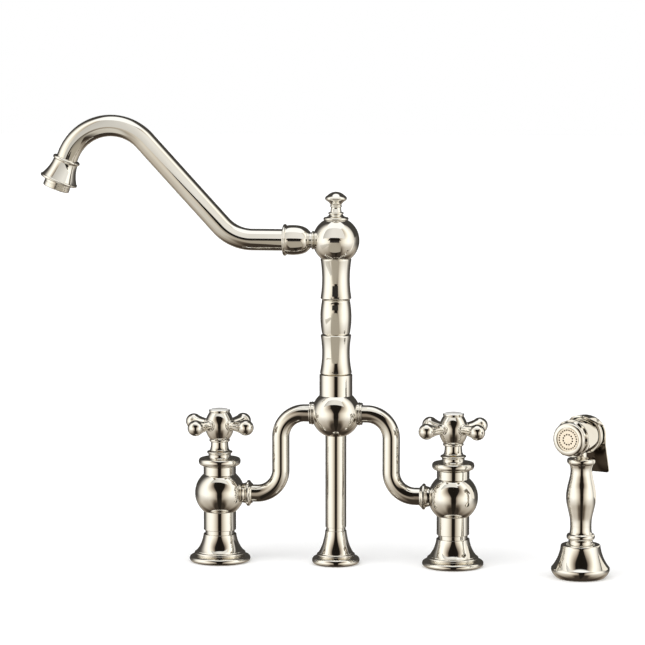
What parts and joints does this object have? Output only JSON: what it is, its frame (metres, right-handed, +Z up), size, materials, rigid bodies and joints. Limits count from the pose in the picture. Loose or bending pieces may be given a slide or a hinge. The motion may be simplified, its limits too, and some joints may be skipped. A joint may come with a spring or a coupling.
{
  "type": "bridge kitchen faucet",
  "caption": "Two-handle bridge faucet with cross handles, a swivelling gooseneck spout on a turned riser, and a separate lever side spray in its deck holder.",
  "frame": {"origin": "centre of the footprint's bounding box, on the deck", "axes": "+X from the hot valve to the cold valve, +Y away from the user, +Z up"},
  "size_m": [0.495, 0.0964, 0.3873],
  "materials": {
    "polished_nickel": "polished nickel, mirror bright, warm",
    "porcelain": "glossy white glaze",
    "brass": "machined brass",
    "alumina": "lapped ceramic",
    "acetal": "moulded acetal, matte",
    "rubber": "black nitrile rubber",
    "steel": "stainless steel"
  },
  "bodies": {
    "bridge": {"deck_gasket_hot": "rubber", "deck_flange_hot": "polished_nickel", "valve_body_hot": "polished_nickel", "union_collar_hot": "polished_nickel", "cartridge_body_hot": "brass", "fixed_disc_hot": "alumina", "bonnet_ring_hot": "polished_nickel", "bridge_arm_hot": "polished_nickel", "deck_gasket_cold": "rubber", "deck_flange_cold": "polished_nickel", "valve_body_cold": "polished_nickel", "union_collar_cold": "polished_nickel", "cartridge_body_cold": "brass", "fixed_disc_cold": "alumina", "bonnet_ring_cold": "polished_nickel", "bridge_arm_cold": "polished_nickel", "post_gasket": "rubber", "post_flange": "polished_nickel", "support_post": "polished_nickel", "hub_body": "polished_nickel", "diverter_sleeve": "brass", "holder_gasket": "rubber", "spray_holder": "polished_nickel", "holder_liner": "acetal"},
    "spout": {"swivel_spigot": "brass", "swivel_seal": "rubber", "riser_lower": "polished_nickel", "riser_middle": "polished_nickel", "riser_upper": "polished_nickel", "spout_ball": "polished_nickel", "finial": "polished_nickel", "coupling_nipple": "polished_nickel", "coupling_bell": "polished_nickel", "spout_tube": "polished_nickel", "aerator_housing": "polished_nickel", "aerator_insert": "polished_nickel"},
    "hot_handle": {"moving_disc_hot": "alumina", "stem_hot": "brass", "handle_skirt_hot": "polished_nickel", "handle_cross_hot": "polished_nickel", "handle_screw_hot": "steel", "button_bezel_hot": "polished_nickel", "index_button_hot": "porcelain"},
    "cold_handle": {"moving_disc_cold": "alumina", "stem_cold": "brass", "handle_skirt_cold": "polished_nickel", "handle_cross_cold": "polished_nickel", "handle_screw_cold": "steel", "button_bezel_cold": "polished_nickel", "index_button_cold": "porcelain"},
    "diverter": {"diverter_spool": "acetal"},
    "side_spray": {"spray_handle": "polished_nickel", "spray_head": "polished_nickel", "spray_hex_ring": "polished_nickel", "spray_nozzle": "polished_nickel", "spray_face": "polished_nickel", "lever_pin": "steel", "plunger_spring": "steel"},
    "spray_lever": {"spray_lever": "polished_nickel"},
    "spray_plunger": {"spray_plunger": "brass"}
  },
  "joints": [
    {"name": "spout_swivel", "type": "hinge", "parent": "bridge", "child": "spout", "pos_m": [0.01031, 0.01585, 0.165], "axis": [0, 0, 1], "continuous": true},
    {"name": "hot_handle_turn", "type": "hinge", "parent": "bridge", "child": "hot_handle", "pos_m": [-0.09129, 0.01585, 0.097], "axis": [0, 0, 1], "range_deg": [0, 90]},
    {"name": "cold_handle_turn", "type": "hinge", "parent": "bridge", "child": "cold_handle", "pos_m": [0.11192, 0.01585, 0.097], "axis": [0, 0, 1], "range_deg": [-90, 0]},
    {"name": "diverter_shift", "type": "slide", "parent": "bridge", "child": "diverter", "axis": [0, 0, 1], "range_m": [0, 0.003]},
    {"name": "spray_lift", "type": "slide", "parent": "bridge", "child": "side_spray", "axis": [0, 0, 1], "range_m": [0, 0.15]},
    {"name": "spray_squeeze", "type": "hinge", "parent": "side_spray", "child": "spray_lever", "pos_m": [0.22589, -0.01236, 0.1335], "axis": [0.9063, -0.4226, 0], "range_deg": [-6, 0], "stiffness_Nm_per_rad": 0.5, "springref_deg": 5.73},
    {"name": "plunger_push", "type": "slide", "parent": "side_spray", "child": "spray_plunger", "axis": [0.4226, 0.9063, 0], "range_m": [-0.0014, 0], "deforming": ["plunger_spring"]}
  ],
  "couplings": [
    {"joint": "plunger_push", "follows": "spray_squeeze", "m_per_rad": 0.013}
  ]
}
